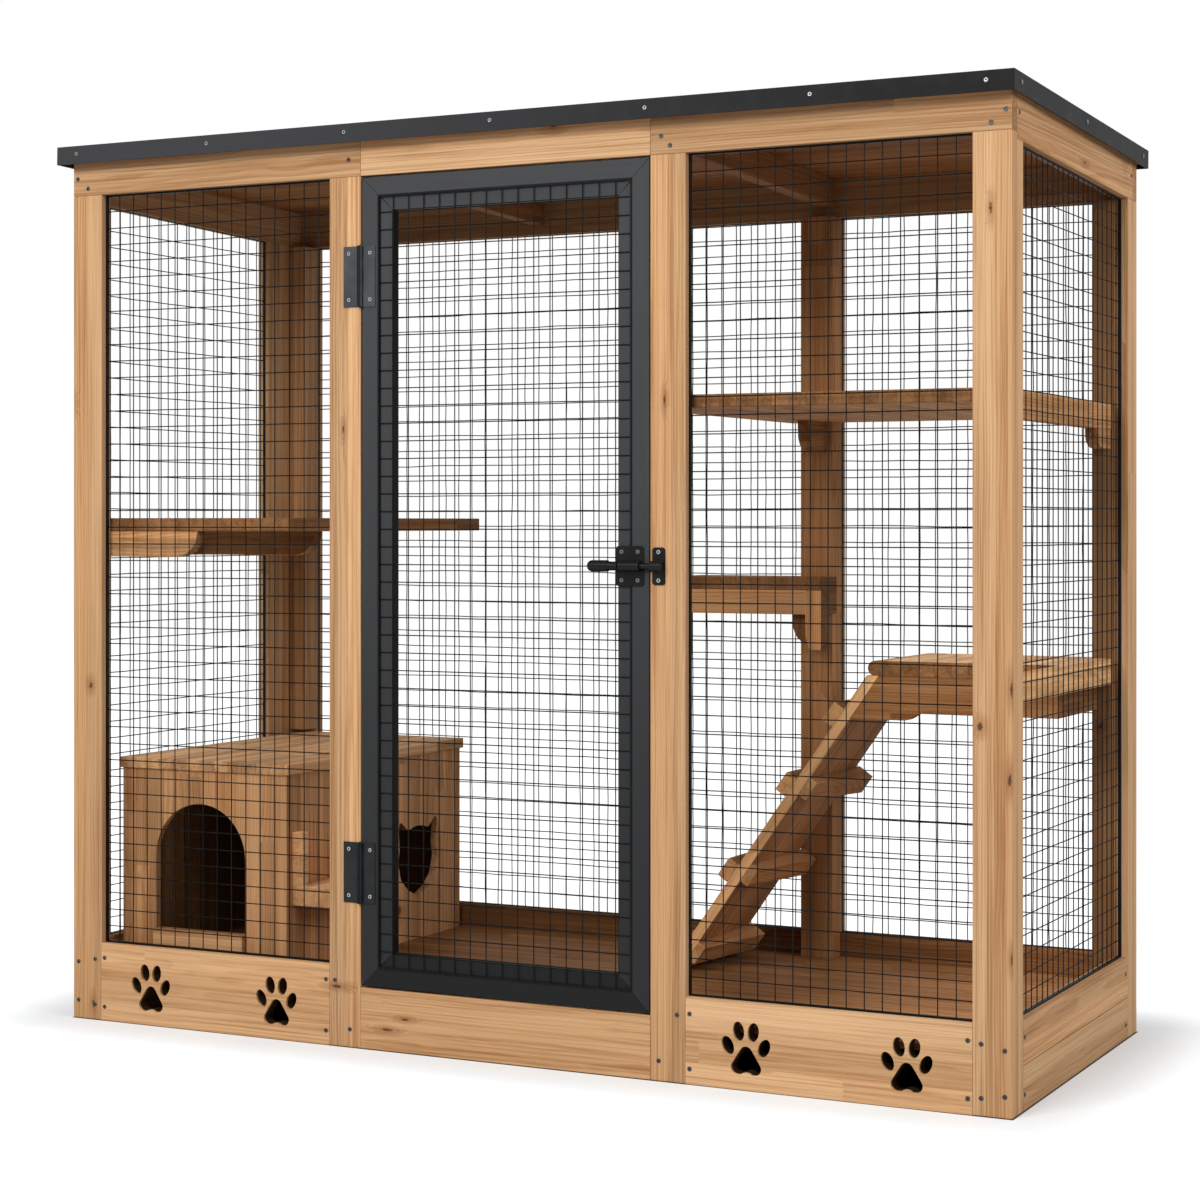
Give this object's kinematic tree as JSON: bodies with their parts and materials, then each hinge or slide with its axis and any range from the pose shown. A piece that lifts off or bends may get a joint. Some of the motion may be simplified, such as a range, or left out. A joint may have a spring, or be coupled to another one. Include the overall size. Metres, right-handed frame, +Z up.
{
  "type": "cat enclosure",
  "caption": "Free-standing timber cat enclosure with a shallow sloping roof, wire mesh walls, a dark framed door with a barrel bolt, a cat house, perches and a ramp.",
  "frame": {"origin": "on the ground, under the middle of the frame and of the roof", "axes": "+X to the right along the front with the door, +Y to the rear, +Z up"},
  "size_m": [2.0328, 0.905, 1.7899],
  "materials": {
    "timber": "oiled softwood, honey",
    "timber_inner": "oiled softwood, brown",
    "door_paint": "charcoal paint on timber",
    "roof_sheet": "dark felt",
    "roof_trim": "charcoal powder coat",
    "wire": "black coated wire",
    "ironwork": "black powder coat",
    "screw": "dark zinc"
  },
  "bodies": {
    "enclosure": {"front_corner_posts": "timber", "hinge_post": "timber", "latch_post": "timber", "front_rail_left": "timber", "front_header": "timber", "front_rail_right": "timber", "front_skirt_left": "timber", "front_skirt_right": "timber", "door_sill": "timber", "rear_corner_posts": "timber", "rear_middle_post": "timber", "rear_rail": "timber", "side_stiles": "timber", "side_rails": "timber", "side_skirts": "timber", "rear_skirts": "timber", "corner_blocks": "timber_inner", "floor_bearers": "timber_inner", "floor_boards": "timber_inner", "rafters": "timber_inner", "roof_boards": "timber_inner", "roof_covering": "roof_sheet", "roof_trim_long": "roof_trim", "roof_trim_sides": "roof_trim", "mesh_front_left": "wire", "mesh_front_right": "wire", "mesh_left": "wire", "mesh_right": "wire", "mesh_rear_wide": "wire", "mesh_rear_narrow": "wire", "house_front": "timber_inner", "house_right": "timber_inner", "house_left": "timber_inner", "house_back": "timber_inner", "house_floor": "timber_inner", "house_lid": "timber_inner", "house_strip": "timber_inner", "house_step": "timber_inner", "left_shelf": "timber_inner", "left_shelf_arms": "timber_inner", "upper_shelf": "timber_inner", "upper_shelf_supports": "timber_inner", "middle_shelf": "timber_inner", "middle_shelf_supports": "timber_inner", "landing_board": "timber_inner", "landing_supports": "timber_inner", "ramp_plank": "timber_inner", "ramp_treads": "timber_inner", "post_hinge_leaves": "ironwork", "hinge_pins": "ironwork", "bolt_keeper": "ironwork", "frame_screws": "screw"},
    "door": {"door_stiles": "door_paint", "door_rails": "door_paint", "door_mesh": "wire", "door_hinge_leaves": "ironwork", "bolt_base": "ironwork", "door_screws": "screw"},
    "bolt": {"bolt_rod": "ironwork"}
  },
  "joints": [
    {"name": "door_hinge", "type": "hinge", "parent": "enclosure", "child": "door", "pos_m": [-0.304, -0.422, 0.92], "axis": [0, 0, -1], "range_deg": [0, 160]},
    {"name": "bolt_slide", "type": "slide", "parent": "door", "child": "bolt", "axis": [-1, 0, 0], "range_m": [0, 0.036]}
  ]
}
